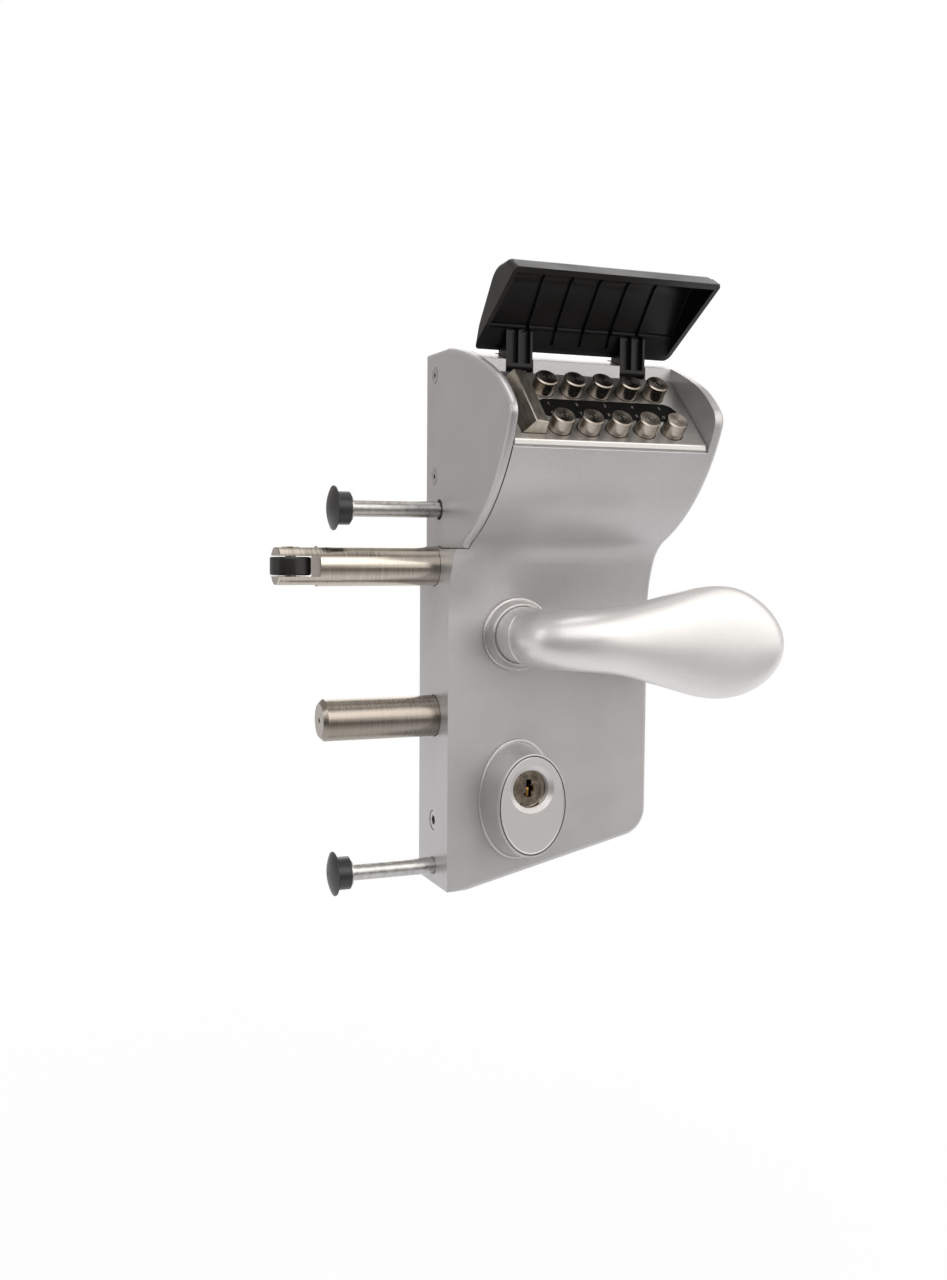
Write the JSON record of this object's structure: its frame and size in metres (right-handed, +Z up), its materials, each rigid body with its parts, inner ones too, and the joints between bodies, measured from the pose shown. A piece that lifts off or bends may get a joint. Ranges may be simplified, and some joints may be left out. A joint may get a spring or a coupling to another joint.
{
  "type": "mechanical code gate lock",
  "caption": "Surface-mounted gate lock with push-button code pad under a flip-up rain cover, lever handles, roller latch, deadbolt and profile cylinder",
  "frame": {"origin": "on the mounting face that meets the gate's frame, at the height of the lever's spindle and the middle of the lock's depth", "axes": "+X runs from the mounting face into the lock, -Y is the keypad side, +Z is up"},
  "size_m": [0.2311, 0.1681, 0.2887],
  "materials": {
    "body_paint": "silver powder coat",
    "insert_paint": "silver satin coat",
    "zinc": "zinc plated steel",
    "deck_steel": "fine ground stainless sheet",
    "black_label": "matt black strip",
    "guide_plastic": "moulded black plastic",
    "zinc_cast": "die-cast zinc, as cast",
    "spring_steel": "drawn spring wire",
    "cover_plastic": "satin black moulded plastic",
    "bar_steel": "ground stainless",
    "button_steel": "turned stainless",
    "handle_aluminium": "smooth silver coat",
    "bolt_steel": "turned stainless",
    "roller_plastic": "hard black plastic",
    "nickel": "satin nickel on brass",
    "plug_nickel": "nickel plated brass",
    "cap_plastic": "satin black plastic"
  },
  "bodies": {
    "lock_body": {"housing": "body_paint", "housing_back": "body_paint", "back_screws": "zinc", "side_cap": "body_paint", "side_cap_screws": "zinc", "keypad_deck": "deck_steel", "deck_screws": "zinc", "digit_strip": "black_label", "button_guide": "guide_plastic", "code_chamber": "zinc_cast", "button_springs": "spring_steel", "reset_springs": "spring_steel", "cover_pins": "spring_steel", "handle_rose_front": "body_paint", "handle_rose_rear": "body_paint", "cylinder_rose_front": "body_paint", "cylinder_rose_rear": "body_paint", "cylinder_insert_front": "insert_paint", "cylinder_insert_rear": "insert_paint", "cylinder_body": "nickel", "cylinder_screw": "zinc", "fixing_bolts": "zinc", "bolt_caps": "cap_plastic", "latch_spring": "spring_steel", "follower_spring": "spring_steel"},
    "rain_cover": {"cover": "cover_plastic"},
    "handle": {"handle_front": "handle_aluminium", "handle_rear": "handle_aluminium", "spindle": "zinc", "follower": "zinc_cast", "handle_screws": "zinc"},
    "latch": {"latch_bolt": "bolt_steel", "latch_tail": "zinc", "roller_pin": "bolt_steel"},
    "roller": {"latch_roller": "roller_plastic"},
    "key_plug": {"cylinder_plug_front": "plug_nickel", "cylinder_plug_rear": "plug_nickel", "cylinder_cam": "zinc_cast"},
    "bolt": {"deadbolt": "bolt_steel", "deadbolt_screw": "bolt_steel", "deadbolt_tail": "zinc"},
    "bar": {"reset_bar": "bar_steel"},
    "key_0": {"button_0": "button_steel"},
    "key_1": {"button_1": "button_steel"},
    "key_2": {"button_2": "button_steel"},
    "key_3": {"button_3": "button_steel"},
    "key_4": {"button_4": "button_steel"},
    "key_5": {"button_5": "button_steel"},
    "key_6": {"button_6": "button_steel"},
    "key_7": {"button_7": "button_steel"},
    "key_8": {"button_8": "button_steel"},
    "key_9": {"button_9": "button_steel"}
  },
  "joints": [
    {"name": "cover_hinge", "type": "hinge", "parent": "lock_body", "child": "rain_cover", "pos_m": [0.05, -0.041, 0.126], "axis": [1, 0, 0], "range_deg": [0, 57]},
    {"name": "handle_turn", "type": "hinge", "parent": "lock_body", "child": "handle", "pos_m": [0.035, 0, 0], "axis": [0, 1, 0], "range_deg": [0, 45], "stiffness_Nm_per_rad": 2, "springref_deg": -14.32},
    {"name": "latch_slide", "type": "slide", "parent": "lock_body", "child": "latch", "axis": [1, 0, 0], "range_m": [0, 0.017]},
    {"name": "roller_spin", "type": "hinge", "parent": "latch", "child": "roller", "pos_m": [-0.0709, 0, 0.0323], "axis": [0, 0, 1], "continuous": true},
    {"name": "key_turn", "type": "hinge", "parent": "lock_body", "child": "key_plug", "pos_m": [0.035, 0, -0.072], "axis": [0, 1, 0], "range_deg": [0, 360]},
    {"name": "bolt_slide", "type": "slide", "parent": "lock_body", "child": "bolt", "axis": [-1, 0, 0], "range_m": [0, 0.023]},
    {"name": "bar_press", "type": "slide", "parent": "lock_body", "child": "bar", "axis": [0, 0.7071, -0.7071], "range_m": [0, 0.002], "stiffness_N_per_m": 400, "springref_m": -0.001},
    {"name": "press_0", "type": "slide", "parent": "lock_body", "child": "key_0", "axis": [0, 0.7071, -0.7071], "range_m": [0, 0.0025], "stiffness_N_per_m": 400, "springref_m": -0.001},
    {"name": "press_1", "type": "slide", "parent": "lock_body", "child": "key_1", "axis": [0, 0.7071, -0.7071], "range_m": [0, 0.0025], "stiffness_N_per_m": 400, "springref_m": -0.001},
    {"name": "press_2", "type": "slide", "parent": "lock_body", "child": "key_2", "axis": [0, 0.7071, -0.7071], "range_m": [0, 0.0025], "stiffness_N_per_m": 400, "springref_m": -0.001},
    {"name": "press_3", "type": "slide", "parent": "lock_body", "child": "key_3", "axis": [0, 0.7071, -0.7071], "range_m": [0, 0.0025], "stiffness_N_per_m": 400, "springref_m": -0.001},
    {"name": "press_4", "type": "slide", "parent": "lock_body", "child": "key_4", "axis": [0, 0.7071, -0.7071], "range_m": [0, 0.0025], "stiffness_N_per_m": 400, "springref_m": -0.001},
    {"name": "press_5", "type": "slide", "parent": "lock_body", "child": "key_5", "axis": [0, 0.7071, -0.7071], "range_m": [0, 0.0025], "stiffness_N_per_m": 400, "springref_m": -0.001},
    {"name": "press_6", "type": "slide", "parent": "lock_body", "child": "key_6", "axis": [0, 0.7071, -0.7071], "range_m": [0, 0.0025], "stiffness_N_per_m": 400, "springref_m": -0.001},
    {"name": "press_7", "type": "slide", "parent": "lock_body", "child": "key_7", "axis": [0, 0.7071, -0.7071], "range_m": [0, 0.0025], "stiffness_N_per_m": 400, "springref_m": -0.001},
    {"name": "press_8", "type": "slide", "parent": "lock_body", "child": "key_8", "axis": [0, 0.7071, -0.7071], "range_m": [0, 0.0025], "stiffness_N_per_m": 400, "springref_m": -0.001},
    {"name": "press_9", "type": "slide", "parent": "lock_body", "child": "key_9", "axis": [0, 0.7071, -0.7071], "range_m": [0, 0.0025], "stiffness_N_per_m": 400, "springref_m": -0.001}
  ],
  "couplings": [
    {"joint": "latch_slide", "follows": "handle_turn", "m_per_rad": 0.021645},
    {"joint": "key_turn", "follows": "bolt_slide", "rad_per_m": 273.18}
  ]
}
